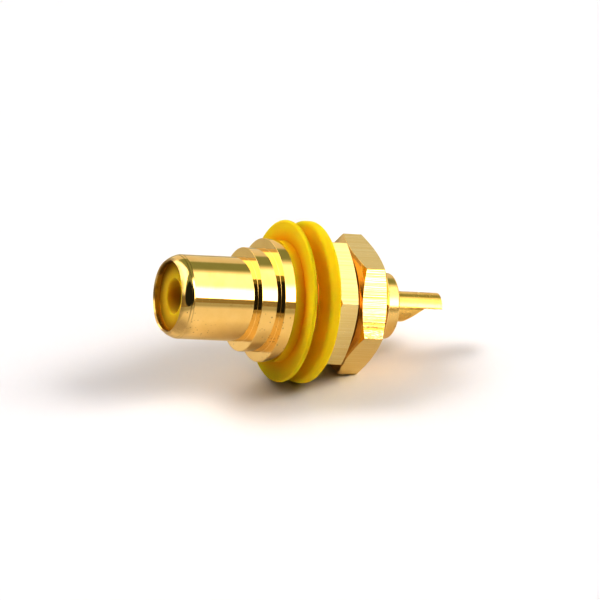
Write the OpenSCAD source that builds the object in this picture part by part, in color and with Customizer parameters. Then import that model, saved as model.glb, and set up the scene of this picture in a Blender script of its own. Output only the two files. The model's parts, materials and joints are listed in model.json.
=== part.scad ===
// Panel socket for a phono plug: a turned and plated shell with a stepped front, held in a panel by two
// nuts between insulating washers, with a sprung centre contact that ends in a solder cup.
// The axis runs along Y with the mouth towards -Y. The origin is on the axis, where the panel's front
// face meets the front washer.

/* [Plug barrel] */
// Outside diameter of the barrel that the plug's ring grips
barrel_d = 8.3; // [7.8:0.05:9.4]
// Length of the barrel from the mouth to the first step
barrel_len = 7.9; // [6:0.1:10]
// Bore of the barrel, which carries the front insulator
bore_d = 6.8; // [6:0.05:7.2]
// Length of the rounded nose
nose_len = 1.15; // [0.8:0.01:1.6]
// Angle of the low edge between the nose's curve and the barrel
nose_edge_angle = 14; // [0:1:18]
// Width of the mouth's rim, from the bore to the start of the nose
rim_w = 0.15; // [0.13:0.01:0.3]
// Chamfer at the mouth of the bore
mouth_chamfer = 0.12; // [0.05:0.01:0.12]

/* [Front steps] */
// Diameter of the first step behind the barrel
step_d = 10.25; // [9.6:0.05:11.6]
// Length of the first step
step_len = 2.05; // [1:0.05:3]
// Diameter of the flange that bears on the front washer
flange_d = 12.2; // [11:0.1:14]
// Thickness of the flange
flange_t = 1.15; // [0.6:0.05:2]
// Broken corner on the turned steps and the washer's hub
edge_break = 0.08; // [0.02:0.01:0.2]

/* [Threaded shank] */
// Outside diameter of the thread
thread_d = 10; // [8.5:0.1:10.8]
// Length of the threaded shank behind the flange
thread_len = 10.65; // [10:0.05:14]
// Chamfer at the end of the thread
thread_chamfer = 0.15; // [0.05:0.05:0.6]
// Radial clearance between the thread and a nut's bore
nut_clearance = 0.03; // [0.01:0.01:0.1]
// Radial clearance between the thread and the washers
washer_clearance = 0.1; // [0.05:0.01:0.3]

/* [Rear neck] */
// Outside diameter of the neck behind the thread
neck_d = 6.5; // [5.8:0.1:8]
// Length of the neck
neck_len = 1.9; // [1:0.1:4]
// Radius of the neck's rear edge
neck_round = 0.2; // [0.1:0.05:0.4]
// Bore of the neck, which carries the rear insulator's sleeve
rear_bore_d = 5; // [4:0.1:5.4]
// Length of the rear bore from its shoulder to the end of the neck
rear_bore_len = 5.6; // [3.5:0.1:8]

/* [Insulating washers] */
// Diameter of both washers
washer_d = 16; // [13.5:0.1:20]
// Thickness of the front washer's disc
front_disc_t = 0.5; // [0.4:0.05:1.1]
// Diameter of the front washer's hub
hub_d = 12; // [11:0.1:13.4]
// Length of the front washer's hub
hub_len = 1; // [0.5:0.05:1.6]
// Fillet between the hub and the disc
hub_fillet = 0.1; // [0.05:0.05:0.4]
// Thickness of the rear washer
rear_disc_t = 1.2; // [0.6:0.05:1.8]
// Radius on the washers' rims
rim_round = 0.4; // [0.1:0.05:0.6]
// Distance between the two washers, where the panel goes
panel_gap = 1.43; // [0.5:0.01:1.8]

/* [Nuts] */
// Width of both nuts across their flats
nut_af = 12; // [11.4:0.1:14]
// Thickness of the nut that clamps the panel
panel_nut_t = 2.74; // [1.5:0.01:2.8]
// Thickness of the nut that locks it
lock_nut_t = 2.98; // [1.5:0.01:3.4]
// Distance between the two nuts
nut_gap = 0.15; // [0.05:0.05:0.7]
// Diameter of the flat face inside a nut's chamfer
nut_face_d = 11; // [10.8:0.1:12]
// Slope of a nut's chamfer
nut_chamfer_angle = 19.5; // [15:0.5:35]
// Countersink at both ends of a nut's bore
nut_countersink = 0.15; // [0.1:0.05:0.35]
// Turn of the panel nut: one corner stands at this angle above the side
panel_nut_turn = 20; // [0:1:59]
// Turn of the lock nut: one flat faces this angle above the side
lock_nut_turn = 21; // [0:1:59]

/* [Insulators] */
// Depth of the front insulator's face behind the mouth
insulator_recess = 0.67; // [0.3:0.01:1.2]
// Thickness of the front insulator's end wall
end_wall_t = 2; // [1.2:0.1:3]
// Hole in the end wall for the plug's pin
pin_hole_d = 3.42; // [3.3:0.01:3.8]
// Chamfer at the front of the pin hole
pin_hole_chamfer = 0.15; // [0.05:0.05:0.3]
// Thickness of the rear insulator's flange
bush_flange_t = 1; // [0.6:0.1:1.5]
// Depth of the rear insulator's end inside the neck
bush_recess = 0.3; // [0.1:0.05:0.8]
// Radial clearance between the insulators and the shell
insulator_clearance = 0.02; // [0.01:0.01:0.06]

/* [Centre contact] */
// Outside diameter of the sprung socket
socket_d = 4.2; // [3.9:0.05:4.8]
// Bore of the sprung socket
socket_bore_d = 3.3; // [3.2:0.01:3.5]
// Room around the socket for its leaves to open
spring_gap = 0.15; // [0.05:0.05:0.3]
// Distance between the socket's mouth and the insulator's end wall
socket_end_gap = 0.6; // [0.1:0.05:1]
// Number of slots in the socket
slot_count = 4; // [2:1:6]
// Width of a slot
slot_w = 0.4; // [0.2:0.05:0.6]
// Length of a slot
slot_len = 7.5; // [4:0.1:10]
// Diameter of the collar that is trapped between the insulators
collar_d = 5.6; // [5:0.1:6.2]
// Thickness of the collar
collar_t = 0.8; // [0.5:0.1:1.5]
// Radial clearance between the contact's tail and the rear insulator
tail_clearance = 0.02; // [0.01:0.01:0.06]

/* [Solder cup] */
// Outside diameter of the tail and its solder cup
cup_d = 3; // [2.4:0.05:3.4]
// Reach of the solder cup behind the neck
cup_reach = 5.35; // [3.5:0.01:8]
// Bore of the solder cup
cup_bore_d = 1.95; // [1.5:0.05:2.1]
// Depth of the cup's bore from its end
cup_depth = 4.9; // [3:0.1:5.6]
// Length of the open half of the cup
trough_len = 1.9; // [1:0.1:2.6]
// Slope of the cut between the open half and the whole tube
scoop_angle = 36; // [25:1:60]
// Height of the open half's edges beyond the axis
trough_lip = 0.13; // [0:0.01:0.4]
// Turn of the cup: its open side faces this angle above the side
cup_turn = -70; // [-180:1:180]

/* [Hidden] */

gold = [0.83, 0.63, 0.26];
yellow = [0.94, 0.77, 0.06];
round_fn = 96;
over = 0.5; // overrun of a cutting tool

// Radii
barrel_r = barrel_d / 2;
bore_r = bore_d / 2;
thread_r = thread_d / 2;
rear_bore_r = rear_bore_d / 2;
washer_r = washer_d / 2;
washer_bore_r = thread_r + washer_clearance;
nut_bore_r = thread_r + nut_clearance;
nut_corner_r = nut_af / 2 / cos(30);
socket_r = socket_d / 2;
cup_r = cup_d / 2;
cup_bore_r = cup_bore_d / 2;
pin_hole_r = pin_hole_d / 2;

// Places along the axis, from the panel's front face
hub_front = -front_disc_t - hub_len;
flange_front = hub_front - flange_t;
step_front = flange_front - step_len;
mouth = step_front - barrel_len;
thread_end = hub_front + thread_len;
neck_end = thread_end + neck_len;
shoulder = neck_end - rear_bore_len;
collar_rear = shoulder - bush_flange_t;
collar_front = collar_rear - collar_t;
insulator_front = mouth + insulator_recess;
socket_front = insulator_front + end_wall_t + socket_end_gap;
rear_disc_rear = panel_gap + rear_disc_t;
lock_nut_front = rear_disc_rear + panel_nut_t + nut_gap;
cup_end = neck_end + cup_reach;
trough_front = cup_end - trough_len;

// Arc of the nose, from the rim's edge to its edge with the barrel
nose_drop = barrel_r - bore_r - rim_w;
nose_slope = atan2(nose_drop, nose_len);
nose_leave = min(nose_edge_angle, nose_slope / 2); // limited so that the nose stays round
nose_r = norm([nose_drop, nose_len]) / (2 * sin(nose_slope - nose_leave));
nose_end = [barrel_r, mouth + nose_len];
nose_centre = nose_end + nose_r * [-cos(nose_leave), sin(nose_leave)];

// Turns a solid made along Z onto the socket's axis
module along_axis() {
  rotate([-90, 0, 0])
    children();
}

// A solid of revolution about the socket's axis, from a section of radius against place
module turned() {
  along_axis()
    rotate_extrude($fn = round_fn)
      children();
}

// Section of a plain stretch between two places
module stretch(inner_r, outer_r, from, to) {
  translate([inner_r, from])
    square([outer_r - inner_r, to - from]);
}

// Section of a stretch with its front outer corner broken
module broken_stretch(inner_r, outer_r, from, to, corner) {
  polygon([
    [inner_r, from],
    [outer_r - corner, from],
    [outer_r, from + corner],
    [outer_r, to],
    [inner_r, to]
  ]);
}

// Section of a disc with both rim corners rounded
module rounded_disc(inner_r, outer_r, from, to, radius) {
  stretch(inner_r, outer_r - radius, from, to);
  stretch(inner_r, outer_r, from + radius, to - radius);
  for (place = [from + radius, to - radius])
    translate([outer_r - radius, place])
      circle(r = radius, $fn = round_fn);
}

// Section of the mouth's rounded nose
module nose_section() {
  intersection() {
    stretch(bore_r, barrel_r + over, mouth, mouth + nose_len);
    translate(nose_centre)
      circle(r = nose_r, $fn = round_fn);
  }
}

// Section of the neck, with its rear corner rounded
module neck_section() {
  neck_r = neck_d / 2;
  stretch(rear_bore_r, neck_r, thread_end, neck_end - neck_round);
  stretch(rear_bore_r, neck_r - neck_round, thread_end, neck_end);
  translate([neck_r - neck_round, neck_end - neck_round])
    circle(r = neck_round, $fn = round_fn);
}

// Section of the chamfer that opens the mouth of the bore
module mouth_chamfer_section() {
  polygon([
    [bore_r - over, mouth - over],
    [bore_r + mouth_chamfer + over, mouth - over],
    [bore_r - over, mouth + mouth_chamfer + over]
  ]);
}

// One turned piece: nose, barrel, step, flange, threaded shank and neck, bored from both ends
module outer_shell() {
  color(gold)
    turned()
      difference() {
        union() {
          nose_section();
          stretch(bore_r, barrel_r, mouth + nose_len, step_front);
          broken_stretch(bore_r, step_d / 2, step_front, flange_front, edge_break);
          broken_stretch(bore_r, flange_d / 2, flange_front, hub_front, edge_break);
          stretch(bore_r, thread_r, hub_front, shoulder);
          stretch(rear_bore_r, thread_r, shoulder, thread_end - thread_chamfer);
          polygon([
            [rear_bore_r, thread_end - thread_chamfer],
            [thread_r, thread_end - thread_chamfer],
            [thread_r - thread_chamfer, thread_end],
            [rear_bore_r, thread_end]
          ]);
          neck_section();
        }
        mouth_chamfer_section();
      }
}

// Moulded sleeve with an end wall behind the mouth and a hole for the plug's pin
module front_insulator() {
  cavity_r = socket_r + spring_gap;
  cavity_front = insulator_front + end_wall_t;
  chamfer_r = pin_hole_r + pin_hole_chamfer;
  color(yellow)
    turned() {
      difference() {
        stretch(pin_hole_r, bore_r - insulator_clearance, insulator_front, cavity_front);
        polygon([
          [pin_hole_r - over, insulator_front - over],
          [chamfer_r + over, insulator_front - over],
          [pin_hole_r - over, insulator_front + pin_hole_chamfer + over]
        ]);
      }
      stretch(cavity_r, bore_r - insulator_clearance, cavity_front, collar_front);
    }
}

// Cut that opens the underside of the solder cup, drawn in side view with its open side towards +X
module scoop() {
  reach = cup_r + over;
  run = (reach - trough_lip) / tan(scoop_angle);
  rotate([90, 0, 0])
    linear_extrude(height = 2 * reach, center = true)
      polygon([
        [trough_lip, trough_front],
        [reach, trough_front - run],
        [reach, cup_end + over],
        [trough_lip, cup_end + over]
      ]);
}

// Slots that part the socket into leaves
module socket_slots() {
  for (slot = [0 : slot_count - 1])
    rotate([0, 0, slot * 360 / slot_count])
      translate([0, -slot_w / 2, socket_front - over])
        cube([socket_r + over, slot_w, slot_len + over]);
}

// Turned contact: slotted socket, trapped collar, tail and solder cup
module centre_contact() {
  color(gold)
    along_axis()
      rotate([0, 0, -cup_turn])
        difference() {
          rotate_extrude($fn = round_fn) {
            stretch(socket_bore_d / 2, socket_r, socket_front, collar_front);
            stretch(0, collar_d / 2, collar_front, collar_rear);
            stretch(0, cup_r, collar_rear, cup_end);
          }
          socket_slots();
          translate([0, 0, cup_end - cup_depth])
            cylinder(r = cup_bore_r, h = cup_depth + over, $fn = round_fn);
          scoop();
        }
}

// Moulded bush: its flange seats on the shell's shoulder and its sleeve fills the neck
module rear_insulator() {
  hole_r = cup_r + tail_clearance;
  color(yellow)
    turned() {
      stretch(hole_r, bore_r - insulator_clearance, collar_rear, shoulder);
      stretch(hole_r, rear_bore_r - insulator_clearance, shoulder, neck_end - bush_recess);
    }
}

// Moulded washer with a hub that bears on the flange
module front_insulating_washer() {
  hub_r = hub_d / 2;
  rim = min(rim_round, front_disc_t * 0.48); // limited by the disc's thickness
  color(yellow)
    turned() {
      rounded_disc(washer_bore_r, washer_r, -front_disc_t, 0, rim);
      broken_stretch(washer_bore_r, hub_r, hub_front, -front_disc_t, edge_break);
      difference() {
        stretch(hub_r, hub_r + hub_fillet, -front_disc_t - hub_fillet, -front_disc_t);
        translate([hub_r + hub_fillet, -front_disc_t - hub_fillet])
          circle(r = hub_fillet, $fn = round_fn);
      }
    }
}

// Plain moulded washer behind the panel
module rear_insulating_washer() {
  rim = min(rim_round, rear_disc_t * 0.48); // limited by the washer's thickness
  color(yellow)
    turned()
      rounded_disc(washer_bore_r, washer_r, panel_gap, rear_disc_rear, rim);
}

// Hexagon nut along Z with both faces chamfered and its bore countersunk, one corner towards +X
module hex_nut(thickness) {
  reach = nut_corner_r + over;
  fall = (reach - nut_face_d / 2) * tan(nut_chamfer_angle);
  sink_r = nut_bore_r + nut_countersink;
  difference() {
    intersection() {
      cylinder(r = nut_corner_r, h = thickness, $fn = 6);
      rotate_extrude($fn = round_fn)
        polygon([
          [0, 0],
          [nut_face_d / 2, 0],
          [reach, fall],
          [reach, thickness - fall],
          [nut_face_d / 2, thickness],
          [0, thickness]
        ]);
    }
    rotate_extrude($fn = round_fn)
      polygon([
        [0, 0],
        [sink_r, 0],
        [nut_bore_r, nut_countersink],
        [nut_bore_r, thickness - nut_countersink],
        [sink_r, thickness],
        [0, thickness]
      ]);
  }
}

// Nut that clamps the panel between the washers
module panel_nut() {
  color(gold)
    along_axis()
      translate([0, 0, rear_disc_rear])
        rotate([0, 0, -panel_nut_turn])
          hex_nut(panel_nut_t);
}

// Nut that locks the panel nut, turned by half a flat from a corner
module lock_nut() {
  color(gold)
    along_axis()
      translate([0, 0, lock_nut_front])
        rotate([0, 0, 30 - lock_nut_turn])
          hex_nut(lock_nut_t);
}

outer_shell();
front_insulator();
centre_contact();
rear_insulator();
front_insulating_washer();
rear_insulating_washer();
panel_nut();
lock_nut();
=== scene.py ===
import json
import math

import bpy
import bmesh
import numpy as np
from mathutils import Matrix, Vector


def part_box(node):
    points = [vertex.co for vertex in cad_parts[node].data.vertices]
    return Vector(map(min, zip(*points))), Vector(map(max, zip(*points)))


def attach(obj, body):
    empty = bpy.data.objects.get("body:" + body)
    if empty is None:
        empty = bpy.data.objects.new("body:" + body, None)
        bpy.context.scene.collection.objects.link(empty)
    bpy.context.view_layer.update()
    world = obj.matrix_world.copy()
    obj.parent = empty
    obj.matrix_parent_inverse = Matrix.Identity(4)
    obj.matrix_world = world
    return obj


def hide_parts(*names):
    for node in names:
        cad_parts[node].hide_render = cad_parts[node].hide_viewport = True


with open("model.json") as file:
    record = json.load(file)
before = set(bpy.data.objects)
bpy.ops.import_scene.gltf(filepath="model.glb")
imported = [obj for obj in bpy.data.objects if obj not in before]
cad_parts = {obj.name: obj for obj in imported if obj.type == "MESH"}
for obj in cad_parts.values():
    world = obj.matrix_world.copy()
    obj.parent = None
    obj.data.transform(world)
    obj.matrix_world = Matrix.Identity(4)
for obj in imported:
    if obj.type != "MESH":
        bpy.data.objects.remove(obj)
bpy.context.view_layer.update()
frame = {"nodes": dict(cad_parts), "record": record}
mm = 0.001
mounts = {m["name"]: m["dims"] for m in frame["record"]["mounts"]}
print("stage: frame loaded,", len(frame["nodes"]), "nodes")

meshDetail = {
    "arcSteps": 9,  # points on each rounded corner of a section
    "hold": 0.03, "holdShare": 0.3,  # how far along a side its extra point lies, in mm and in radii
    "weld": 1e-8, "sliver": 1e-9,  # in metres
    "edgeSegments": 2,
}


def span(node):  # first and last place of a node along the axis, in mm
    low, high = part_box(node)
    return low.y / mm, high.y / mm


def reach(node):  # largest radius of a round node, in mm
    low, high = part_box(node)
    return (high.x - low.x) / 2 / mm


def meshPoints(mesh):  # in metres
    points = np.empty(len(mesh.vertices) * 3)
    mesh.vertices.foreach_get("co", points)
    return points.reshape(-1, 3)


# A closed outline with every corner turned into an arc that touches both of its sides.
# The arc's centre lies on the corner's middle line at radius / sin(half angle), and one
# more point a little way along each side keeps the sides flat when the mesh is shaded.
def roundedLoop(corners, radii):
    d = meshDetail
    corner, radius = np.asarray(corners, float), np.asarray(radii, float)
    back, ahead = np.roll(corner, 1, 0) - corner, np.roll(corner, -1, 0) - corner
    back /= np.linalg.norm(back, axis=1, keepdims=True)
    ahead /= np.linalg.norm(ahead, axis=1, keepdims=True)
    half = np.arccos(np.clip((back * ahead).sum(1), -1, 1)) / 2
    touch = (radius / np.tan(half))[:, None]
    middle = back + ahead
    middle /= np.linalg.norm(middle, axis=1, keepdims=True)
    centre = corner + middle * (radius / np.sin(half))[:, None]
    first, last = corner + back * touch - centre, corner + ahead * touch - centre
    start = np.arctan2(first[:, 1], first[:, 0])
    turn = (np.arctan2(last[:, 1], last[:, 0]) - start + np.pi) % (2 * np.pi) - np.pi
    angle = start[:, None] + turn[:, None] * np.linspace(0, 1, d["arcSteps"])
    arc = centre[:, None] + radius[:, None, None] * np.stack([np.cos(angle), np.sin(angle)], -1)
    extra = touch + np.minimum(d["holdShare"] * radius, d["hold"])[:, None]
    lead, tail = corner + back * extra, corner + ahead * extra
    return np.concatenate([lead[:, None], arc, tail[:, None]], 1).reshape(-1, 2)


# Quads between neighbouring points of a grid that closes on itself both ways.
def ringQuads(rows, columns):
    r, c = np.meshgrid(np.arange(rows), np.arange(columns), indexing="ij")
    nextR, nextC = (r + 1) % rows, (c + 1) % columns
    corners = [r * columns + c, nextR * columns + c, nextR * columns + nextC, r * columns + nextC]
    return np.stack(corners, -1).reshape(-1, 4)


# A point at radius, place and angle: the radius turned about the Y axis, the place kept.
def turned(radius, place, angle):
    radius, place, angle = np.broadcast_arrays(radius, place, angle)
    return np.stack([radius * np.cos(angle), place, radius * np.sin(angle)], -1)


# Puts points and quads into a mesh. Six times the enclosed volume is the sum of the
# triple products of the fan triangles: where it is negative, every face is turned round.
def makeMesh(name, points, quads):
    points = np.asarray(points, float).reshape(-1, 3) * mm
    a, b, c, d = (points[quads[:, i]] for i in range(4))
    volume = (np.cross(a, b) * c).sum() + (np.cross(a, c) * d).sum()
    if volume < 0:
        quads = quads[:, ::-1]
    mesh = bpy.data.meshes.new(name)
    mesh.from_pydata(points, [], quads)
    mesh.validate()
    return mesh


# Welds the mesh, shades it, breaks its sharp edges where asked and hands the piece over.
def finishPiece(name, mesh, node, material, sharp=None, edge=0.0):
    work = bmesh.new()
    work.from_mesh(mesh)
    bmesh.ops.remove_doubles(work, verts=work.verts, dist=meshDetail["weld"])
    bmesh.ops.dissolve_degenerate(work, edges=work.edges, dist=meshDetail["sliver"])
    work.to_mesh(mesh)
    work.free()
    mesh.polygons.foreach_set("use_smooth", np.ones(len(mesh.polygons), bool))
    if sharp:
        mesh.set_sharp_from_angle(angle=math.radians(sharp))
    piece = bpy.data.objects.new(name, mesh)
    bpy.context.scene.collection.objects.link(piece)
    if edge:
        bevel = piece.modifiers.new("brokenEdge", "BEVEL")
        bevel.width, bevel.segments = edge * mm, meshDetail["edgeSegments"]
        bevel.harden_normals, bevel.use_clamp_overlap = True, False
        bevel.limit_method, bevel.angle_limit = "ANGLE", math.radians(sharp)
    mesh.materials.append(material)
    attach(piece, "root")
    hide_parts(node)
    points = meshPoints(mesh)
    box = np.array([list(v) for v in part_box(node)])
    off = np.abs(np.stack([points.min(0), points.max(0)]) - box).max() / mm
    print(f"stage: {name} made, {len(mesh.polygons)} faces, box within {off:.3f} mm of {node}")


def nodeIn(tree, kind, inputs=None, **settings):
    made = tree.nodes.new(kind)
    for key, value in settings.items():
        setattr(made, key, value)
    for key, value in (inputs or {}).items():
        if isinstance(value, bpy.types.NodeSocket):
            tree.links.new(value, made.inputs[key])
        else:
            made.inputs[key].default_value = value
    return made


def mathIn(tree, operation, *values):
    inputs = dict(enumerate(values))
    return nodeIn(tree, "ShaderNodeMath", inputs, operation=operation).outputs[0]


def timesIn(tree, first, second):
    return mathIn(tree, "MULTIPLY", first, second)


def vectorIn(tree, operation, *values):
    inputs = dict(enumerate(values))
    return nodeIn(tree, "ShaderNodeVectorMath", inputs, operation=operation).outputs


def axesIn(tree, vector):
    return nodeIn(tree, "ShaderNodeSeparateXYZ", {"Vector": vector}).outputs


# A value that goes from one number to another between the two ends of a fade.
def fadeIn(tree, value, ends, to=(0.0, 1.0), smooth=True):
    inputs = {"Value": value, "From Min": ends[0], "From Max": ends[1], "To Min": to[0], "To Max": to[1]}
    kind = "SMOOTHSTEP" if smooth else "LINEAR"
    return nodeIn(tree, "ShaderNodeMapRange", inputs, interpolation_type=kind).outputs["Result"]


def noiseIn(tree, vector, scale, detail, rough):
    inputs = {"Vector": vector, "Scale": scale, "Detail": detail, "Roughness": rough}
    return nodeIn(tree, "ShaderNodeTexNoise", inputs).outputs["Fac"]


def stretchedNoise(tree, vector, stretch, detail, rough):
    longer = nodeIn(tree, "ShaderNodeMapping", {"Vector": vector, "Scale": stretch}).outputs[0]
    return noiseIn(tree, longer, 1.0, detail, rough)


def cellsIn(tree, vector, scale):  # scattered cells, and the numbers drawn by lot for each
    inputs = {"Vector": vector, "Scale": scale}
    cells = nodeIn(tree, "ShaderNodeTexVoronoi", inputs, feature="F1").outputs
    return cells, nodeIn(tree, "ShaderNodeSeparateColor", {"Color": cells["Color"]}).outputs


def mixValue(tree, amount, first, second):
    return nodeIn(tree, "ShaderNodeMix", {"Factor": amount, "A": first, "B": second}).outputs[0]


def mixColour(tree, amount, first, second, blend="MIX"):
    inputs = {0: amount, 6: first, 7: second}  # the places of the colour sockets
    return nodeIn(tree, "ShaderNodeMix", inputs, data_type="RGBA", blend_type=blend).outputs[2]


def bumpIn(tree, shader, strength, depth, height):
    inputs = {"Strength": strength, "Distance": depth * mm, "Height": height}
    tree.links.new(nodeIn(tree, "ShaderNodeBump", inputs).outputs[0], shader.inputs["Normal"])


def newMaterial(name):
    material = bpy.data.materials.new(name)
    material.use_nodes = True
    tree = material.node_tree
    shader = tree.nodes["Principled BSDF"]
    place = nodeIn(tree, "ShaderNodeTexCoord").outputs["Object"]
    return material, tree, shader, place


# The long side of a right triangle with these two short sides.
def longSide(tree, first, second):
    squares = [mathIn(tree, "POWER", side, 2.0) for side in (first, second)]
    return mathIn(tree, "SQRT", mathIn(tree, "ADD", *squares))


# How far a point is from a ring round the axis, given by its radius and place in mm.
def fromRing(tree, point, radius, place):
    parts = axesIn(tree, point)
    out = mathIn(tree, "SUBTRACT", longSide(tree, parts["X"], parts["Z"]), radius * mm)
    return longSide(tree, out, mathIn(tree, "SUBTRACT", parts["Y"], place * mm))


goldTone = {
    "bright": (0.92, 0.72, 0.37, 1),
    "deep": (0.88, 0.67, 0.31, 1),
    "contact": (0.90, 0.68, 0.29, 1),  # the thicker plate of the contact
    "contactDeep": (0.86, 0.62, 0.23, 1),
    "worn": (0.80, 0.42, 0.10, 1),  # in deep scores and on turned chamfers
    "nut": (0.80, 0.66, 0.33, 1),
    "nutPale": (0.87, 0.78, 0.50, 1),
    # colour of pinholes, of the painted shade and painted dark reflections on the shell, and of its darker
    # patch
    "pitted": (0.22, 0.13, 0.05, 1),
}

# In the finishes a noise is (scale per metre, detail, roughness), and ends are those of a fade.
plateFinish = {
    "drift": (420.0, 4, 0.6), "driftEnds": (0.3, 0.7),  # of the tint
    "pitScale": 3200.0, "pitWidth": (0.06, 0.42), "pitEdge": (0.4, 1.0), "pitTone": 0.6,
    "clusters": (190.0, 2, 0.5), "clusterEnds": (0.33, 0.5),  # where pinholes gather
    "pittedSide": (0.71, 0.0, -0.71), "sideEnds": (0.3, 0.8),  # and on which side
    "patches": (700.0, 2, 0.5), "patchEnds": (0.3, 0.6), "patchLeast": 0.4,  # of a mark's tone
    "markCore": 0.3,  # share of a mark's width that has its full tone
    "markHaze": 0.3, "markRelief": 0.5,
    "mist": (900.0, 4, 0.6), "mistEnds": (0.3, 0.75), "mistGloss": (0.7, 1.5),
    "satinFade": 0.1, "satinHaze": 0.14,
    "turning": (60.0, 9000.0, 60.0), "turningDetail": 1, "turningRough": 0.5,
    "bump": 0.35, "bumpDepth": 0.02,
}


# Polished plate: slow drifts of tint and gloss, faint turning lines, and pinholes that
# gather on one side. Each ring is (radius, place, width, depth of tone): a band of
# painted shade and dark reflection. Each spot is (point, width, depth of tone): a patch
# where the plate is darker and hazier. Behind the place given as satin the plate is matt.
def polishedGold(name, tones, gloss, turning, pits, rings=(), spots=(), satin=None):
    p = plateFinish
    material, tree, shader, place = newMaterial(name)
    drift = fadeIn(tree, noiseIn(tree, place, *p["drift"]), p["driftEnds"])
    tint = mixColour(tree, drift, goldTone[tones[0]], goldTone[tones[1]])
    cells, lot = cellsIn(tree, place, p["pitScale"])
    chosen = mathIn(tree, "GREATER_THAN", lot[0], 1 - pits)
    outward = vectorIn(tree, "MULTIPLY", place, (1.0, 0.0, 1.0))[0]
    outward = vectorIn(tree, "NORMALIZE", outward)[0]
    faced = vectorIn(tree, "DOT_PRODUCT", outward, p["pittedSide"])["Value"]
    cluster = fadeIn(tree, noiseIn(tree, place, *p["clusters"]), p["clusterEnds"])
    cluster = timesIn(tree, cluster, fadeIn(tree, faced, p["sideEnds"]))
    width = fadeIn(tree, lot[1], (0.0, 1.0), p["pitWidth"], False)
    inside = mathIn(tree, "DIVIDE", cells["Distance"], width)
    hole = fadeIn(tree, inside, p["pitEdge"], (p["pitTone"], 0.0))
    pitsAndShade = timesIn(tree, timesIn(tree, chosen, cluster), hole)
    patchy = fadeIn(tree, noiseIn(tree, place, *p["patches"]), p["patchEnds"], (p["patchLeast"], 1.0))
    # rings paint shade and dark reflections into the plate's colour; spots paint a darker patch
    away = [(fromRing(tree, place, r, along), wide, tone) for r, along, wide, tone in rings]
    for point, wide, tone in spots:
        middle = tuple(v * mm for v in point)
        away.append((vectorIn(tree, "DISTANCE", place, middle)["Value"], wide, tone))
    for distance, wide, tone in away:
        near = fadeIn(tree, distance, (p["markCore"] * wide * mm, wide * mm), (tone, 0.0))
        pitsAndShade = mathIn(tree, "MAXIMUM", pitsAndShade, timesIn(tree, patchy, near))
    tree.links.new(mixColour(tree, pitsAndShade, tint, goldTone["pitted"]), shader.inputs["Base Color"])
    shader.inputs["Metallic"].default_value = 1.0
    glosses = [gloss * share for share in p["mistGloss"]]
    haze = fadeIn(tree, noiseIn(tree, place, *p["mist"]), p["mistEnds"], glosses, False)
    haze = mathIn(tree, "ADD", haze, timesIn(tree, pitsAndShade, p["markHaze"]))
    if satin is not None:
        ends = ((satin - p["satinFade"]) * mm, (satin + p["satinFade"]) * mm)
        behind = fadeIn(tree, axesIn(tree, place)["Y"], ends, (0.0, p["satinHaze"]))
        haze = mathIn(tree, "ADD", haze, behind)
    tree.links.new(haze, shader.inputs["Roughness"])
    lines = stretchedNoise(tree, place, p["turning"], p["turningDetail"], p["turningRough"])
    lines = timesIn(tree, lines, turning)
    relief = mathIn(tree, "SUBTRACT", lines, timesIn(tree, pitsAndShade, p["markRelief"]))
    bumpIn(tree, shader, p["bump"], p["bumpDepth"], relief)
    return material


# Here lines are (scale across the axis, scale along it, detail), both per metre.
nutFinish = {
    "fine": (9000.0, 18.0, 1), "fineShare": 0.6,
    "broad": (3600.0, 8.0, 1), "broadShare": 0.4,
    "lineRough": 0.6,
    "flatEnds": (0.12, 0.3),  # how much of a face's normal may lie along the axis on a flat
    "paleEnds": (0.25, 0.75),
    "gloss": 0.14, "glossEnds": (0.3, 0.7), "glossSpread": (0.7, 1.4),
    "chamferRed": 0.28,
    "gripFrom": 5.93, "gripFade": 0.03,  # the spanner's marks lie this far out and beyond
    "gripRelief": 12.0, "gripGloss": 0.06, "gripRed": 0.9,
    "ridges": (11000.0, 50.0, 2),
    "scores": (1300.0, 14.0, 1), "scoreEnds": (0.60, 0.65), "scoreDepth": 0.8,
    "streaks": (12000.0, 40.0, 2), "streakEnds": (0.52, 0.62), "streakRed": 0.7,
    "torn": (9500.0, 2600.0, 2), "tornEnds": (0.45, 0.6), "tornHeight": 0.7, "tornRed": 0.7,
    "tornSide": (-2.4, -0.4),  # places across the flat where the torn side stops
    "bump": 0.2, "bumpDepth": 0.01,
}
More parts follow.
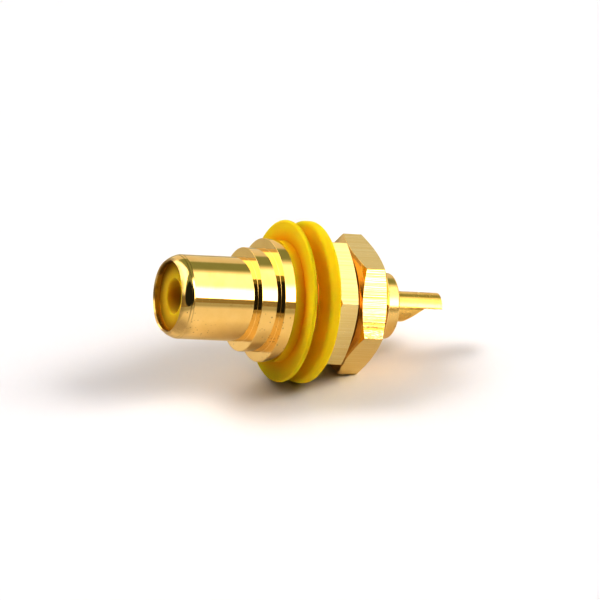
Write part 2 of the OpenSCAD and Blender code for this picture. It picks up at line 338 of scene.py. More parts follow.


# Plated hexagon bar: noise that is stretched along the axis gives drawn lines of two
# widths, which rub the plate pale. Faces that look along the axis were turned, so they
# carry none; they are tinted redder and darker. The two flats that a spanner gripped, given
# by their angle, have deeper lines and a few scores in the worn tone, and are torn on one side.
def drawnGold(name, gripped=None):
    n = nutFinish
    material, tree, shader, place = newMaterial(name)
    normal = nodeIn(tree, "ShaderNodeTexCoord").outputs["Normal"]
    leaning = mathIn(tree, "ABSOLUTE", axesIn(tree, normal)["Y"])
    onFlat = fadeIn(tree, leaning, n["flatEnds"], (1.0, 0.0))

    def lines(key):
        across, along, detail = n[key]
        return stretchedNoise(tree, place, (across, along, across), detail, n["lineRough"])

    def onAxis(angle):
        axis = (math.cos(math.radians(angle)), 0.0, math.sin(math.radians(angle)))
        return vectorIn(tree, "DOT_PRODUCT", place, axis)["Value"]

    fine, broad = (timesIn(tree, lines(key), n[key + "Share"]) for key in ("fine", "broad"))
    drawn = mathIn(tree, "ADD", fine, broad)
    tint = mixColour(tree, fadeIn(tree, drawn, n["paleEnds"]), goldTone["nut"], goldTone["nutPale"])
    glosses = [n["gloss"] * share for share in n["glossSpread"]]
    haze = fadeIn(tree, drawn, n["glossEnds"], glosses, False)
    height = timesIn(tree, drawn, onFlat)
    red = fadeIn(tree, onFlat, (0.0, 1.0), (n["chamferRed"], 0.0))
    if gripped is not None:
        ends = ((n["gripFrom"] - n["gripFade"]) * mm, n["gripFrom"] * mm)
        grip = fadeIn(tree, mathIn(tree, "ABSOLUTE", onAxis(gripped)), ends)
        grip = timesIn(tree, onFlat, grip)
        score = fadeIn(tree, lines("scores"), n["scoreEnds"])
        streak = timesIn(tree, fadeIn(tree, lines("streaks"), n["streakEnds"]), n["streakRed"])
        sideEnds = [v * mm for v in n["tornSide"]]
        torn = fadeIn(tree, onAxis(gripped + 90), sideEnds, (1.0, 0.0))
        torn = timesIn(tree, fadeIn(tree, lines("torn"), n["tornEnds"]), torn)
        ridges = mathIn(tree, "ADD", lines("ridges"), timesIn(tree, torn, n["tornHeight"]))
        ridges = mathIn(tree, "SUBTRACT", ridges, timesIn(tree, score, n["scoreDepth"]))
        ridges = timesIn(tree, ridges, timesIn(tree, grip, n["gripRelief"]))
        height = mathIn(tree, "ADD", height, ridges)
        rubbed = mathIn(tree, "MAXIMUM", score, streak)
        rubbed = mathIn(tree, "MAXIMUM", rubbed, timesIn(tree, torn, n["tornRed"]))
        rubbed = timesIn(tree, rubbed, timesIn(tree, grip, n["gripRed"]))
        red = mathIn(tree, "MAXIMUM", red, rubbed)
        haze = mixValue(tree, grip, haze, n["gripGloss"])
    tree.links.new(mixColour(tree, red, tint, goldTone["worn"]), shader.inputs["Base Color"])
    shader.inputs["Metallic"].default_value = 1.0
    tree.links.new(haze, shader.inputs["Roughness"])
    bumpIn(tree, shader, n["bump"], n["bumpDepth"], height)
    return material


plasticFinish = {
    "washer": (0.75, 0.61, 0.03, 1),
    "washerDeep": (0.71, 0.55, 0.026, 1),
    # painted shade for the crease at the front washer's hub
    "washerCorner": (0.78, 0.37, 0.002, 1),
    # painted light: the rear washer's face in the gap between the washers is brighter and more orange
    "washerGap": (0.98, 0.58, 0.004, 1),  # light that went through the front washer
    "insulator": (0.82, 0.56, 0.04, 1),
    "insulatorDeep": (0.78, 0.52, 0.035, 1),
    # painted shade for the recess at the mouth and in the pin's hole
    "insulatorCorner": (0.31, 0.14, 0.003, 1),
    "speck": (0.22, 0.15, 0.03, 1),
    "speckScale": 480.0, "speckEdge": (0.02, 0.05), "speckTone": 0.7,
    "clouds": (260.0, 3, 0.5),
    "skin": (7000.0, 3, 0.6), "skinEnds": (0.3, 0.7), "skinGloss": (0.85, 1.2),
    "gloss": 0.55, "shine": 0.03,
    "glow": 1.0,  # share of the light that travels inside
    "glowDepth": 1.4, "glowReach": (1.0, 0.72, 0.1),  # red goes furthest
    "bump": 0.25, "bumpDepth": 0.02,
}


# Moulded plastic: clouded yellow with light inside it, a fine matt skin and a few specks of
# dirt. Near rings of (radius, place, width, amount) it takes the painted tone given for
# corners: painted shade in creases and recesses, painted light in the washers' gap.
def yellowPlastic(name, tone, corner, dirt, rings):
    p = plasticFinish
    material, tree, shader, place = newMaterial(name)
    tint = mixColour(tree, noiseIn(tree, place, *p["clouds"]), p[tone], p[tone + "Deep"])
    # near each ring the tint turns to painted shade, and in the washers' gap to painted light
    for radius, along, wide, amount in rings:
        distance = fromRing(tree, place, radius, along)
        tint = mixColour(tree, fadeIn(tree, distance, (0.0, wide * mm), (amount, 0.0)), tint, p[corner])
    cells, lot = cellsIn(tree, place, p["speckScale"])
    speck = fadeIn(tree, cells["Distance"], p["speckEdge"], (p["speckTone"], 0.0))
    speck = timesIn(tree, mathIn(tree, "GREATER_THAN", lot[1], 1 - dirt), speck)
    tree.links.new(mixColour(tree, speck, tint, p["speck"]), shader.inputs["Base Color"])
    skin = noiseIn(tree, place, *p["skin"])
    glosses = [p["gloss"] * share for share in p["skinGloss"]]
    tree.links.new(fadeIn(tree, skin, p["skinEnds"], glosses, False), shader.inputs["Roughness"])
    shader.inputs["Specular IOR Level"].default_value = p["shine"]
    shader.inputs["Subsurface Weight"].default_value = p["glow"]
    shader.inputs["Subsurface Radius"].default_value = p["glowReach"]
    shader.inputs["Subsurface Scale"].default_value = p["glowDepth"] * mm
    bumpIn(tree, shader, p["bump"], p["bumpDepth"], skin)
    return material


shell = {
    "columns": 192,
    "barrelR": mounts["plug_barrel"]["r_mm"],
    "boreR": 3.4, "mouthChamfer": 0.12, "rimR": 3.55,
    "noseLength": 1.15, "noseEdge": 14.0, "noseRound": 0.25,
    "noseArc": 0.85,  # share of the nose's full arc, so that it ends short of both edges
    "stepR": 5.125, "stepLength": 2.05, "flangeThickness": 1.15,
    "threadR": 5.0, "threadLength": 10.65, "threadPitch": 0.75, "threadDepth": 0.4,
    "crestShare": 0.125, "flankShare": 0.625,  # of half a pitch
    "threadFrom": 0.5, "threadChamfer": 0.15, "rowsPerTurn": 12,
    "neckR": 3.25, "neckRound": 0.2, "rearBoreR": 2.5, "rearBoreLength": 5.6,
    "mouthRounds": (0.03, 0.008, 0.01), "cornerFillet": 0.035, "edgeRound": 0.05,
    "shankFillet": 0.02, "neckFillet": 0.1,
    "plate": {"gloss": 0.05, "turning": 0.25, "pits": 0.6},
    # marks: the two lines at the nose's end are painted dark reflection standing in for a groove that
    # mirrors the dark, and the ring just inside the mouth is painted shade in the bore's recess
    "marks": [  # radius, place behind the mouth, width and depth of tone
        (4.067, 0.88, 0.1, 0.45), (4.15, 1.15, 0.07, 0.4), (3.4, 0.2, 0.45, 0.8)],
    # a patch on the nose's lower side where the plate is darker and hazier
    "rub": ((3.3, 0.3, -2.1), 1.9, 0.55),  # a point behind the mouth, width and depth of tone
    "satinLength": 1.9,  # of the neck's matt end
}


# The shell is its section turned about the axis. On the shank the radius is the lesser of
# the section's and the thread's: the crest less a tooth that repeats every pitch and starts
# one pitch later after each turn.
def makeShell():
    s = shell
    mouth, end = span("outer_shell")
    flangeR = reach("outer_shell")
    hubFront = span("front_insulating_washer")[0]
    flangeFront = hubFront - s["flangeThickness"]
    stepFront = flangeFront - s["stepLength"]
    threadEnd = hubFront + s["threadLength"]
    shoulder = end - s["rearBoreLength"]
    drop, run, leave = s["barrelR"] - s["rimR"], s["noseLength"], math.radians(s["noseEdge"])
    half = math.atan2(drop, run) - leave  # half of what the nose's arc turns through
    noseR = math.hypot(drop, run) / (2 * math.sin(half))
    back = noseR * math.tan(half)  # from the nose's edge back to where the arc's tangents cross
    noseCorner = (s["barrelR"] - back * math.sin(leave), mouth + run - back * math.cos(leave))
    corners = [
        (s["boreR"], mouth + s["mouthChamfer"]), (s["boreR"] + s["mouthChamfer"], mouth),
        (s["rimR"], mouth), noseCorner, (s["barrelR"], mouth + run), (s["barrelR"], stepFront),
        (s["stepR"], stepFront), (s["stepR"], flangeFront), (flangeR, flangeFront),
        (flangeR, hubFront), (s["threadR"], hubFront),
        (s["threadR"], threadEnd - s["threadChamfer"]), (s["threadR"] - s["threadChamfer"], threadEnd),
        (s["neckR"], threadEnd), (s["neckR"], end), (s["rearBoreR"], end),
        (s["rearBoreR"], shoulder), (s["boreR"], shoulder)]
    e, f = s["edgeRound"], s["cornerFillet"]
    radii = [*s["mouthRounds"], s["noseArc"] * noseR, s["noseRound"], f, e, f, e, e,
             s["shankFillet"], e, e, s["neckFillet"], s["neckRound"], e, e, e]
    loop = roundedLoop(corners, radii)
    perCorner = meshDetail["arcSteps"] + 2
    after = (corners.index((s["threadR"], hubFront)) + 1) * perCorner
    turns = (s["threadLength"] - s["threadChamfer"]) / s["threadPitch"]
    count = int(turns * s["rowsPerTurn"])
    places = np.linspace(loop[after - 1, 1], loop[after, 1], count + 2)[1:-1]
    loop = np.insert(loop, after, np.stack([np.full(count, s["threadR"]), places], -1), axis=0)
    angle = np.linspace(0, 2 * np.pi, s["columns"], endpoint=False)[None]
    radius, place = loop[:, :1], loop[:, 1:]
    turn = place / s["threadPitch"] - angle / (2 * np.pi)
    away = np.abs((turn + 0.5) % 1 - 0.5) * 2  # 0 on a crest's middle, 1 on a root's
    tooth = np.clip((away - s["crestShare"]) / s["flankShare"], 0, 1)
    thread = np.maximum(s["threadR"] - s["threadDepth"] * tooth, s["neckR"])
    index = np.arange(len(loop))[:, None]
    onShank = (index >= after) & (index < after + count + 2 * perCorner)
    onShank = onShank & (place > hubFront + s["threadFrom"])
    radius = np.where(onShank, np.minimum(radius, thread), radius)
    points = turned(radius, place, angle)
    mesh = makeMesh("outerShell", points, ringQuads(*points.shape[:2]))
    finishPiece("outerShell", mesh, "outer_shell", shellPlate)


roundPieces = {"columns": 160}


# A moulded ring is its section, (radius, place, rounding) at each corner, turned about the axis.
def makeRing(name, node, material, section):
    section = np.array(section)
    loop = roundedLoop(section[:, :2], section[:, 2])
    angle = np.linspace(0, 2 * np.pi, roundPieces["columns"], endpoint=False)[None]
    points = turned(loop[:, :1], loop[:, 1:], angle)
    mesh = makeMesh(name, points, ringQuads(*points.shape[:2]))
    finishPiece(name, mesh, node, material)


washer = {
    "boreR": 5.1, "hubR": 6.0, "hubLength": 1.0, "hubFillet": 0.03,
    "frontRim": 0.24, "rearRim": 0.42, "edge": 0.06,
    "dirt": 0.04,
    # gapShade: width and amount of the painted light in the gap between the washers
    # hubShade: width and amount of the painted shade in the hub's crease
    "hubShade": (1.5, 0.75), "gapShade": (4.5, 0.75),  # width and amount of the corner's tone
}


# The front washer's section is a thin disc with a hub in front of it, the rear washer's a
# thicker disc with a fuller rim. Both are bored to clear the shank.
def makeWashers():
    w = washer
    front, back = span("front_insulating_washer")
    rimR = reach("front_insulating_washer")
    disc = front + w["hubLength"]
    makeRing("frontWasher", "front_insulating_washer", washerYellow, [
        (w["boreR"], front, w["edge"]), (w["hubR"], front, w["edge"]),
        (w["hubR"], disc, w["hubFillet"]), (rimR, disc, w["frontRim"]),
        (rimR, back, w["frontRim"]), (w["boreR"], back, w["edge"])])
    front, back = span("rear_insulating_washer")
    rimR = reach("rear_insulating_washer")
    makeRing("rearWasher", "rear_insulating_washer", rearWasherYellow, [
        (w["boreR"], front, w["edge"]), (rimR, front, w["rearRim"]),
        (rimR, back, w["rearRim"]), (w["boreR"], back, w["edge"])])


insulator = {
    "holeR": mounts["pin_hole"]["r_mm"], "holeRound": 0.16, "endWall": 2.0, "cavityR": 2.25,
    "rim": 0.06, "tailR": 1.52, "sleeveR": 2.48, "bushEdge": 0.05, "bushStep": 0.02,
    "dirt": 0.0,
    # rimShade and holeShade: width and amount of the painted shade by the bore wall and in the pin's hole
    "rimShade": (1.7, 0.85), "holeShade": (1.0, 0.2),  # width and amount of the corner's tone
    "holeShadePlace": 1.0,
}


# The front insulator's section is an end wall with the pin's hole and a sleeve behind it,
# the rear one's a flange that bears on the shell's shoulder and a sleeve in the neck.
def makeInsulators():
    i = insulator
    front, back = span("front_insulator")
    outer = reach("front_insulator")
    wall = front + i["endWall"]
    makeRing("frontInsulator", "front_insulator", insulatorYellow, [
        (i["holeR"], front, i["holeRound"]), (outer, front, i["rim"]),
        (outer, back, i["rim"]), (i["cavityR"], back, i["rim"]),
        (i["cavityR"], wall, i["rim"]), (i["holeR"], wall, i["rim"])])
    front, back = span("rear_insulator")
    outer = reach("rear_insulator")
    step = span("outer_shell")[1] - shell["rearBoreLength"]
    makeRing("rearInsulator", "rear_insulator", insulatorYellow, [
        (i["tailR"], front, i["bushEdge"]), (outer, front, i["bushEdge"]),
        (outer, step, i["bushStep"]), (i["sleeveR"], step, i["bushEdge"]),
        (i["sleeveR"], back, i["rim"]), (i["tailR"], back, i["rim"])])


nut = {
    "acrossFlats": 12.0, "boreR": 5.03, "countersink": 0.15, "faceR": 5.5, "chamferAngle": 19.5,
    "perFlat": 16, "sharp": 12, "edge": 0.035,
    "panelTurn": 20.0, "lockTurn": 51.0,  # turns of one corner above the +X side
}


# Around a nut the outline's radius is half the flats over the cosine of the angle from the
# middle of the flat. Each column runs from the bore over the countersink, the face, the
# chamfer's cone and the flat to the other face and back.
def makeNut(name, node, turn, plate):
    n = nut
    front, back = span(node)
    across = np.linspace(-1, 1, n["perFlat"], endpoint=False) * math.tan(math.pi / 6)
    inFlat = np.arctan(across)
    flats = math.radians(turn + 30) + np.radians(60 * np.arange(6))
    angle = (flats[:, None] + inFlat[None]).reshape(1, -1)
    hexR = np.tile(n["acrossFlats"] / 2 / np.cos(inFlat), 6)[None]
    fall = np.maximum(hexR - n["faceR"], 0) * math.tan(math.radians(n["chamferAngle"]))
    sink = n["countersink"]
    same = np.ones_like(hexR)
    bore, sunk, face = (same * r for r in (n["boreR"], n["boreR"] + sink, n["faceR"]))
    radius = np.concatenate([bore, sunk, face, hexR, hexR, face, sunk, bore])
    place = np.concatenate([same * (front + sink), same * front, same * front, front + fall,
                            back - fall, same * back, same * back, same * (back - sink)])
    points = turned(radius, place, angle)
    mesh = makeMesh(name, points, ringQuads(*points.shape[:2]))
    finishPiece(name, mesh, node, plate, sharp=n["sharp"], edge=n["edge"])


contact = {
    "perLeaf": 22, "perSlot": 4, "slotWidth": 0.4, "slotLength": 7.5,
    "slotHalf": 6.0,  # degrees that half a slot's columns take up before they are moved
    "socketR": 2.1, "socketBoreR": mounts["pin_socket"]["r_mm"],
    "collarR": 2.8, "collarThickness": 0.8, "tailR": 1.5,
    "cupBoreR": mounts["solder_cup"]["r_mm"], "cupDepth": mounts["solder_cup"]["length_mm"],
    "cupLead": 0.4,  # from the cup's bottom to the outer wall's next row
    "troughLength": 1.9, "scoopAngle": 36.0, "troughLip": 0.13, "openSide": -70.0,
    "sharp": 28, "edge": 0.03,
    "plate": {"gloss": 0.22, "turning": 0.8, "pits": 0.03},
}


# The contact is a tube worked out on a grid of angle and place, with an outer and an inner
# wall. Where it is solid the inner wall lies on the axis. A cell of the grid is present or
# absent, and a face stands wherever a present cell meets an absent one. In the cup the open
# side's columns end on the slanted cut, at the trough's front less
# (radius * cos(angle) - lip) / tan(slope).
def makeContact():
    c = contact
    front, end = span("centre_contact")
    collarRear = span("rear_insulator")[0]
    collarFront = collarRear - c["collarThickness"]
    slotEnd, cupBottom, trough = front + c["slotLength"], end - c["cupDepth"], end - c["troughLength"]
    slope = math.tan(math.radians(c["scoopAngle"]))
    # columns: slots at every quarter turn, counted from the open side
    slotHalf = c["slotHalf"]
    quarter = np.concatenate([np.linspace(-slotHalf, slotHalf, c["perSlot"], endpoint=False),
                              np.linspace(slotHalf, 90 - slotHalf, c["perLeaf"], endpoint=False)])
    columnDegrees = (np.arange(4)[:, None] * 90 + quarter).reshape(-1)
    column = np.radians(columnDegrees)
    inSlot = np.tile(np.arange(len(quarter)) < c["perSlot"], 4)
    slotSides = [(quarterTurn * 90, side) for quarterTurn in range(-1, 6) for side in (-1, 1)]
    marks = np.radians([middle + side * slotHalf for middle, side in slotSides])

    def slotted(radius):
        half = math.asin(c["slotWidth"] / 2 / radius)
        return np.interp(column, marks, [math.radians(middle) + side * half for middle, side in slotSides])

    openTo, openFrom = 90 - slotHalf, 270 + slotHalf

    def scooped(radius):
        lipAngle = math.acos(c["troughLip"] / radius)
        low, high = math.radians(openTo), math.radians(openFrom)
        return np.interp(column, [-high, -low, low, high, 2 * np.pi],
                         [lipAngle - 2 * np.pi, -lipAngle, lipAngle, 2 * np.pi - lipAngle, 2 * np.pi])

    onEdge = np.isclose(columnDegrees, openTo) | np.isclose(columnDegrees, openFrom)
    openSide = ((columnDegrees < openTo) & ~np.isclose(columnDegrees, openTo)) | (
        (columnDegrees > openFrom) | np.isclose(columnDegrees, openFrom))
    outAngle, inAngle = scooped(c["tailR"]), scooped(c["cupBoreR"])

    def cutPlace(radius, angle):
        slanted = trough - (radius * np.cos(angle) - c["troughLip"]) / slope
        return np.where(openSide | onEdge, slanted, trough)

    outCut, inCut = cutPlace(c["tailR"], outAngle), cutPlace(c["cupBoreR"], inAngle)
    outLeaf, inLeaf = slotted(c["socketR"]), slotted(c["socketBoreR"])
    # rows: outer radius, outer place, outer angle, inner radius, inner place, inner angle
    rows = [
        (c["socketR"], front, outLeaf, c["socketBoreR"], front, inLeaf),
        (c["socketR"], slotEnd, outLeaf, c["socketBoreR"], slotEnd, inLeaf),
        (c["socketR"], collarFront, outLeaf, c["socketBoreR"], collarFront, inLeaf),
        (c["collarR"], collarFront, outLeaf, 0.0, collarFront, inLeaf),
        (c["collarR"], collarRear, outLeaf, 0.0, collarRear, inLeaf),
        (c["tailR"], collarRear, outAngle, 0.0, collarRear, inAngle),
        (c["tailR"], cupBottom, outAngle, 0.0, cupBottom, inAngle),
        (c["tailR"], cupBottom + c["cupLead"], outAngle, c["cupBoreR"], cupBottom, inAngle),
        (c["tailR"], outCut, outAngle, c["cupBoreR"], inCut, inAngle),
        (c["tailR"], end, outAngle, c["cupBoreR"], end, inAngle),
    ]
    turn = math.radians(c["openSide"])
    outer = np.stack([turned(r[0], r[1], r[2] + turn) for r in rows])
    inner = np.stack([turned(r[3], r[4], r[5] + turn) for r in rows])
    count, wide = outer.shape[:2]
    points = np.concatenate([outer.reshape(-1, 3), inner.reshape(-1, 3)])
    present = np.ones((count + 1, wide), bool)
    present[0] = present[count] = False
    present[1] = ~inSlot
    present[count - 1] = ~openSide
    o = np.arange(count * wide).reshape(count, wide)  # the outer wall's points
    i = o + count * wide  # the inner wall's points
    nextJ = np.roll(np.arange(wide), -1)
    has = present[1:count]
    below, above = o[:-1], o[1:]
    walls = [np.stack([below, below[:, nextJ], above[:, nextJ], above], -1)[has],
             np.stack([below, above, above[:, nextJ], below[:, nextJ]], -1)[has] + count * wide]
    starts, stops = present[1:] & ~present[:-1], present[:-1] & ~present[1:]
    walls += [np.stack([o, i, i[:, nextJ], o[:, nextJ]], -1)[starts],
              np.stack([o, o[:, nextJ], i[:, nextJ], i], -1)[stops]]
    before = np.roll(has, 1, axis=1)
    side = np.stack([o[:-1], o[1:], i[1:], i[:-1]], -1)
    walls += [side[has & ~before], side[..., ::-1][before & ~has]]
    mesh = makeMesh("centreContact", points, np.concatenate(walls))
    finishPiece("centreContact", mesh, "centre_contact", contactPlate,
                sharp=c["sharp"], edge=c["edge"])


mouth, shellEnd = span("outer_shell")
# the shell's rings of painted dark reflection and painted shade
paintedDarkRings = [(radius, mouth + place, wide, tone) for radius, place, wide, tone in shell["marks"]]
(darkPatchX, darkPatchPlace, darkPatchZ), darkPatchWide, darkPatchTone = shell["rub"]
shellPlate = polishedGold("polishedPlate", ("bright", "deep"), **shell["plate"], rings=paintedDarkRings,
                          spots=[((darkPatchX, mouth + darkPatchPlace, darkPatchZ), darkPatchWide, darkPatchTone)],
                          satin=shellEnd - shell["satinLength"])
contactPlate = polishedGold("contactPlate", ("contact", "contactDeep"), **contact["plate"])
panelNutPlate = drawnGold("drawnPlate")
lockNutPlate = drawnGold("scoredPlate", gripped=nut["lockTurn"] - 30)
# the front washer gets painted shade in the crease at its hub
hubCorner = span("front_insulating_washer")[0] + washer["hubLength"]
washerYellow = yellowPlastic("washerYellow", "washer", "washerCorner", washer["dirt"],
                             [(washer["hubR"], hubCorner, *washer["hubShade"])])
# the rear washer gets painted light on its face in the gap between the washers
gapRear = span("rear_insulating_washer")[0]
rearWasherYellow = yellowPlastic("rearWasherYellow", "washer", "washerGap", washer["dirt"],
                                 [(washer["boreR"], gapRear, *washer["gapShade"])])
# the front insulator gets painted shade by the bore wall and in the pin's hole
face = span("front_insulator")[0]
holeShade = (insulator["holeR"], face + insulator["holeShadePlace"], *insulator["holeShade"])
insulatorYellow = yellowPlastic("insulatorYellow", "insulator", "insulatorCorner", insulator["dirt"],
                                [(shell["boreR"], face, *insulator["rimShade"]), holeShade])
print("stage: materials made")

makeShell()
makeWashers()
makeInsulators()
makeNut("panelNut", "panel_nut", nut["panelTurn"], panelNutPlate)
makeNut("lockNut", "lock_nut", nut["lockTurn"], lockNutPlate)
makeContact()


cameraView = {
    "leanOut": math.degrees(math.asin(0.41)),  # the axis leans this far out of the picture
    "axisFall": 2.577,  # and falls this far to the right in it
    "nearSide": 20.0,  # the side that faces the camera, above +X
    "frameWidth": 59.06, "distance": 1300.0,
    "centrePlace": 1.65, "centreRise": 0.187,
    "sensor": 36, "clip": (0.01, 20),
}


# The axis and the camera's back direction fix the picture: the near side is the back
# direction less its part along the axis, and the third direction is at right angles to both.
def cameraAxes():
    v = cameraView
    lean, fall, near = (math.radians(v[k]) for k in ("leanOut", "axisFall", "nearSide"))
    inPicture = math.cos(lean)
    axis = np.array([inPicture * math.cos(fall), -inPicture * math.sin(fall), -math.sin(lean)])
    nearSide = np.array([0, 0, 1.0]) - axis[2] * axis
    nearSide /= np.linalg.norm(nearSide)
    over = np.cross(nearSide, axis)
    side = math.cos(near) * nearSide - math.sin(near) * over
    up = math.sin(near) * nearSide + math.cos(near) * over
    return np.stack([side, axis, up], -1)  # rows: the picture's right, up and back in the frame


pictureRight, pictureUp, pictureBack = (Vector(r) for r in cameraAxes())


# The camera stands far off along the picture's back direction, so that it sees hardly any
# perspective. Its lens is the sensor times the distance over the width of the frame.
def makeCamera():
    v = cameraView
    data = bpy.data.cameras.new("photoCamera")
    data.sensor_width = v["sensor"]
    data.lens = v["sensor"] * v["distance"] / v["frameWidth"]
    data.clip_start, data.clip_end = v["clip"]
    camera = bpy.data.objects.new("photoCamera", data)
    bpy.context.scene.collection.objects.link(camera)
    target = Vector((0, v["centrePlace"] * mm, 0)) + pictureUp * v["centreRise"] * mm
    turn = Matrix((pictureRight, pictureUp, pictureBack)).transposed().to_4x4()
    camera.matrix_world = Matrix.Translation(target + pictureBack * v["distance"] * mm) @ turn
    bpy.context.scene.camera = camera
    print("stage: camera at", [round(x, 3) for x in camera.location])


floorSheet = {
    "size": 6.0, "cells": 8,
    "steepest": 40, "halvings": 40,  # of the search for its slope
    "white": (0.84, 0.815, 0.82, 1), "grey": (0.83, 0.805, 0.81, 1), "clouds": (40.0, 2, 0.5),
    "mirroredNear": (0.95, 0.87, 0.68, 1), "mirroredFar": (0.54, 0.51, 0.36, 1),  # its tint in the gold
    "mirroredEnds": (36, 100),  # how far out the one turns into the other
    "roughness": 0.8, "shine": 0.1,
}


# The socket lies on the rear washer's rim and the lock nut's lowest corner. The floor's
# slope is found by halving: at each slope the lower of the two lowest points decides.
def makeFloor():
    f = floorSheet
    front, back = (meshPoints(frame["nodes"][k].data) for k in ("rear_insulating_washer", "lock_nut"))
    low, high = 0.0, math.radians(f["steepest"])
    for _ in range(f["halvings"]):
        tilt = (low + high) / 2
        normal = np.array([0, -math.sin(tilt), math.cos(tilt)])
        if (front @ normal).min() < (back @ normal).min():
            low = tilt
        else:
            high = tilt
    depth = min((front @ normal).min(), (back @ normal).min())
    print(f"stage: floor slopes {math.degrees(tilt):.2f} degrees")
    across = np.array([1, 0, 0])
    along = np.cross(normal, across)
    rows = f["cells"] + 1
    steps = np.linspace(-0.5, 0.5, rows) * f["size"]
    u, w = np.meshgrid(steps, steps, indexing="ij")
    points = u[..., None] * across + w[..., None] * along + normal * depth
    index = np.arange(rows * rows).reshape(rows, rows)
    quads = np.stack([index[:-1, :-1], index[1:, :-1], index[1:, 1:], index[:-1, 1:]], -1).reshape(-1, 4)
    mesh = bpy.data.meshes.new("floorSheet")
    mesh.from_pydata(points.reshape(-1, 3), [], quads)
    material, tree, shader, place = newMaterial("floorWhite")
    paper = mixColour(tree, noiseIn(tree, place, *f["clouds"]), f["white"], f["grey"])
    away = vectorIn(tree, "LENGTH", place)["Value"]
    far = fadeIn(tree, away, [v * mm for v in f["mirroredEnds"]])
    tint = mixColour(tree, far, f["mirroredNear"], f["mirroredFar"])
    # painted reflection: the floor is tinted only as the gold mirrors it, warmer near the socket and
    # darker far off
    tinted = mixColour(tree, 1.0, paper, tint, "MULTIPLY")
    mirrored = nodeIn(tree, "ShaderNodeLightPath").outputs["Is Glossy Ray"]
    tree.links.new(mixColour(tree, mirrored, paper, tinted), shader.inputs["Base Color"])
    shader.inputs["Roughness"].default_value = f["roughness"]
    shader.inputs["Specular IOR Level"].default_value = f["shine"]
    mesh.materials.append(material)
    floor = bpy.data.objects.new("floorSheet", mesh)
    bpy.context.scene.collection.objects.link(floor)


studio = {
    "level": 1.0, "contrast": 0.72,
    "warmth": (1.04, 0.94, 0.76, 1),  # tint of the light in the gold
    "throwback": 2.5,  # strength of the light that the gold throws on the floor
    "backdrop": (1.05, 1.05, 1.05, 1),
    "upTurn": (0.92, 0.39),  # the table's up, in shares of the picture's up and back
    "softParts": [  # light on matt things, from these parts of the sky
        {"from": 46, "to": 86, "low": 35, "high": 57, "power": 11.3},
        {"from": 0, "to": 45, "low": 32, "high": 62, "power": 1.65},
        {"from": -128, "to": -89, "low": 37, "high": 60, "power": 10.0},
        {"from": -180, "to": 0, "low": 44, "high": 66, "power": 0.6},
        {"from": -200, "to": -60, "low": 64, "high": 110, "power": 1.3},
        {"from": -60, "to": 200, "low": 64, "high": 110, "power": 0.6},
    ],
    "partEdges": {"fromSoft": 9, "toSoft": 9, "lowSoft": 7, "highSoft": 7},
    "rightBox": {"from": 25, "to": 123, "low": 12.5, "high": 66,
                 "fromSoft": 2, "toSoft": 16, "lowSoft": 0.5, "highSoft": 9,
                 "near": 4.6, "nearWarmth": 0.02, "far": 1.65, "farWarmth": 0.03, "farFrom": (56, 68)},
    "leftBox": {"from": -152, "to": -29, "low": 27, "high": 87,
                "fromSoft": 8, "toSoft": 3, "lowSoft": 5, "highSoft": 13,
                "power": 2.3, "warmth": -0.03},
    "gap": {"bearing": -1, "height": 31, "wide": 25, "tall": 33, "edge": (0.8, 1.25)},
    "dark": (0.045, 0.05, 0.04, 1),  # in the gap between the boxes
    "behind": (0.88, 0.87, 0.85, 1), "ceiling": (0.38, 0.45, 0.29, 1), "ceilingFrom": (31, 38),
    "lowSide": (0.43, 0.38, 0.24, 1), "lowSideTurn": (110, 140), "lowSideHeight": (20, 36),
}


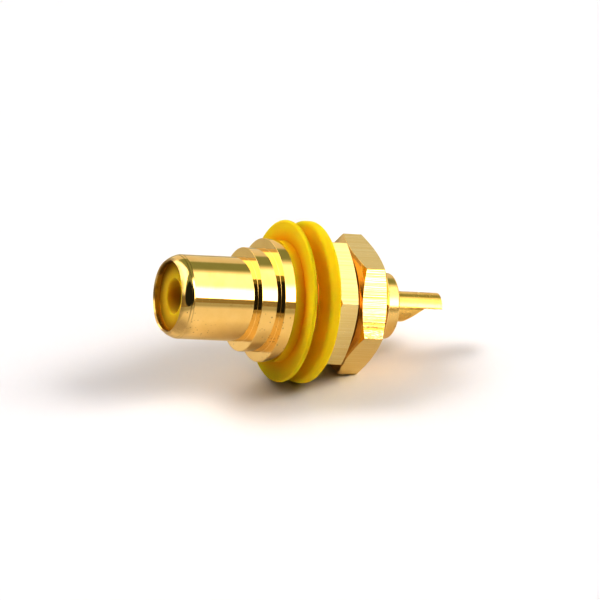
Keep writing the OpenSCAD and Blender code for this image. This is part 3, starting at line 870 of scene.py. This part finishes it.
# The light is painted by direction: the bearing is measured from the camera's side of the
# sky to the right, the height above the table, both in degrees. Each box is a window in both.
# Matt things get the soft parts, the gold mirrors the painted boxes, and the camera sees white.
def makeStudio():
    s = studio
    world = bpy.data.worlds.new("studio")
    bpy.context.scene.world = world
    world.use_nodes = True
    tree = world.node_tree
    tree.nodes.clear()
    direction = nodeIn(tree, "ShaderNodeTexCoord").outputs["Generated"]
    upAxis = (pictureUp * s["upTurn"][0] + pictureBack * s["upTurn"][1]).normalized()
    rightAxis = (pictureRight - upAxis * pictureRight.dot(upAxis)).normalized()
    nearAxis = rightAxis.cross(upAxis)
    up, right, near = (vectorIn(tree, "DOT_PRODUCT", direction, tuple(axis))["Value"]
                       for axis in (upAxis, rightAxis, nearAxis))
    toDegrees = 180 / math.pi
    height = timesIn(tree, mathIn(tree, "ARCSINE", up), toDegrees)
    bearing = timesIn(tree, mathIn(tree, "ARCTAN2", right, near), toDegrees)

    def between(value, low, high, lowSoft, highSoft):
        over = fadeIn(tree, value, (low - lowSoft, low + lowSoft))
        return timesIn(tree, over, fadeIn(tree, value, (high - highSoft, high + highSoft), (1.0, 0.0)))

    def window(box, edges):
        sides = between(bearing, box["from"], box["to"], edges["fromSoft"], edges["toSoft"])
        heights = between(height, box["low"], box["high"], edges["lowSoft"], edges["highSoft"])
        return timesIn(tree, sides, heights)

    def fromMiddle(value, middle, size):
        share = mathIn(tree, "DIVIDE", mathIn(tree, "SUBTRACT", value, middle), size)
        return mathIn(tree, "POWER", share, 2.0)

    def lamp(power, warmth):
        return (power * (1 + warmth), power, power * (1 - warmth), 1)

    colour = mixColour(tree, fadeIn(tree, height, s["ceilingFrom"]), s["behind"], s["ceiling"])
    lowSide = fadeIn(tree, mathIn(tree, "ABSOLUTE", bearing), s["lowSideTurn"], (1.0, 0.0))
    lowSide = timesIn(tree, lowSide, fadeIn(tree, height, s["lowSideHeight"], (1.0, 0.0)))
    colour = mixColour(tree, lowSide, colour, s["lowSide"])
    gap = s["gap"]
    aside = fromMiddle(bearing, gap["bearing"], gap["wide"])
    above = fromMiddle(height, gap["height"], gap["tall"])
    inGap = fadeIn(tree, mathIn(tree, "ADD", aside, above), gap["edge"], (1.0, 0.0))
    colour = mixColour(tree, inGap, colour, s["dark"])
    box = s["leftBox"]
    colour = mixColour(tree, window(box, box), colour, lamp(box["power"], box["warmth"]))
    box = s["rightBox"]
    glare = mixColour(tree, fadeIn(tree, bearing, box["farFrom"]), lamp(box["near"], box["nearWarmth"]),
                      lamp(box["far"], box["farWarmth"]))
    colour = mixColour(tree, window(box, box), colour, glare)
    soft = 0.0
    for part in s["softParts"]:
        soft = mathIn(tree, "MULTIPLY_ADD", window(part, s["partEdges"]), part["power"], soft)
    ray = nodeIn(tree, "ShaderNodeLightPath").outputs
    thrown = timesIn(tree, ray["Is Glossy Ray"], mathIn(tree, "GREATER_THAN", ray["Diffuse Depth"], 0.5))
    strength = mixValue(tree, thrown, s["level"], s["throwback"])
    strength = mixValue(tree, ray["Is Diffuse Ray"], strength, soft)
    warm = mixColour(tree, 1.0, colour, s["warmth"], "MULTIPLY")
    colour = mixColour(tree, ray["Is Glossy Ray"], (1, 1, 1, 1), warm)
    colour = mixColour(tree, ray["Is Camera Ray"], colour, s["backdrop"])
    background = nodeIn(tree, "ShaderNodeBackground", {"Color": colour, "Strength": strength})
    nodeIn(tree, "ShaderNodeOutputWorld", {"Surface": background.outputs[0]})
    world.cycles.sampling_method = "NONE"  # so that each kind of ray sees only its own light
    settings = bpy.context.scene.view_settings
    settings.view_transform, settings.look, settings.gamma = "Standard", "None", s["contrast"]
    print("stage: studio light made")


makeCamera()
makeFloor()
makeStudio()
